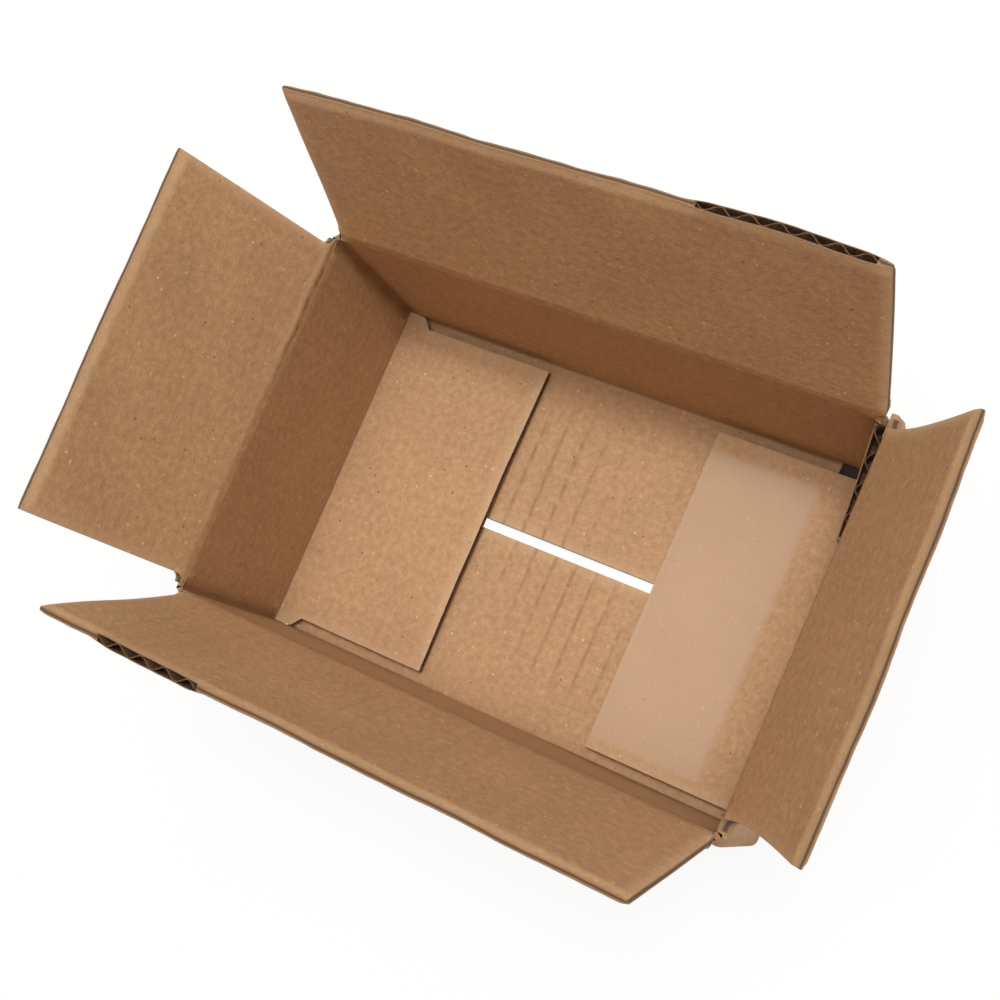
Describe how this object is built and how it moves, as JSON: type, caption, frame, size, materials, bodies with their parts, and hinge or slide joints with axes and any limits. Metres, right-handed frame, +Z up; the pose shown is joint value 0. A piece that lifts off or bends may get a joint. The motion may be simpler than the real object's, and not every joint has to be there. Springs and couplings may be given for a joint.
{
  "type": "corrugated shipping box",
  "caption": "Small slotted carton of single-wall corrugated board, standing open with hinged top and bottom flaps and a glued side joint.",
  "frame": {"origin": "middle of the closed bottom, on the surface that the box stands on", "axes": "+X along the long walls towards the wall with the glue tab, +Y along the short walls towards the back, +Z up"},
  "size_m": [0.1987, 0.1383, 0.1131],
  "materials": {
    "kraft_board": "matt unbleached kraft liner"
  },
  "bodies": {
    "carton": {"wall_sleeve": "kraft_board"},
    "front_lid": {"top_flap_front": "kraft_board"},
    "back_lid": {"top_flap_back": "kraft_board"},
    "left_lid": {"top_flap_left": "kraft_board"},
    "right_lid": {"top_flap_right": "kraft_board"},
    "front_bottom": {"bottom_flap_front": "kraft_board"},
    "back_bottom": {"bottom_flap_back": "kraft_board"}
  },
  "joints": [
    {"name": "top_front_crease", "type": "hinge", "parent": "carton", "child": "front_lid", "pos_m": [0, -0.0533, 0.0627], "axis": [1, 0, 0], "range_deg": [-106.5, 138.5]},
    {"name": "top_back_crease", "type": "hinge", "parent": "carton", "child": "back_lid", "pos_m": [0, 0.0533, 0.0627], "axis": [-1, 0, 0], "range_deg": [-108, 137]},
    {"name": "top_left_crease", "type": "hinge", "parent": "carton", "child": "left_lid", "pos_m": [-0.0787, 0, 0.0595], "axis": [0, -1, 0], "range_deg": [-111.5, 133.5]},
    {"name": "top_right_crease", "type": "hinge", "parent": "carton", "child": "right_lid", "pos_m": [0.0787, 0, 0.0595], "axis": [0, 1, 0], "range_deg": [-114.5, 130.5]},
    {"name": "bottom_front_crease", "type": "hinge", "parent": "carton", "child": "front_bottom", "pos_m": [0, -0.0533, 0.0005], "axis": [-1, 0, 0], "range_deg": [0, 175]},
    {"name": "bottom_back_crease", "type": "hinge", "parent": "carton", "child": "back_bottom", "pos_m": [0, 0.0533, 0.0005], "axis": [1, 0, 0], "range_deg": [0, 175]}
  ]
}
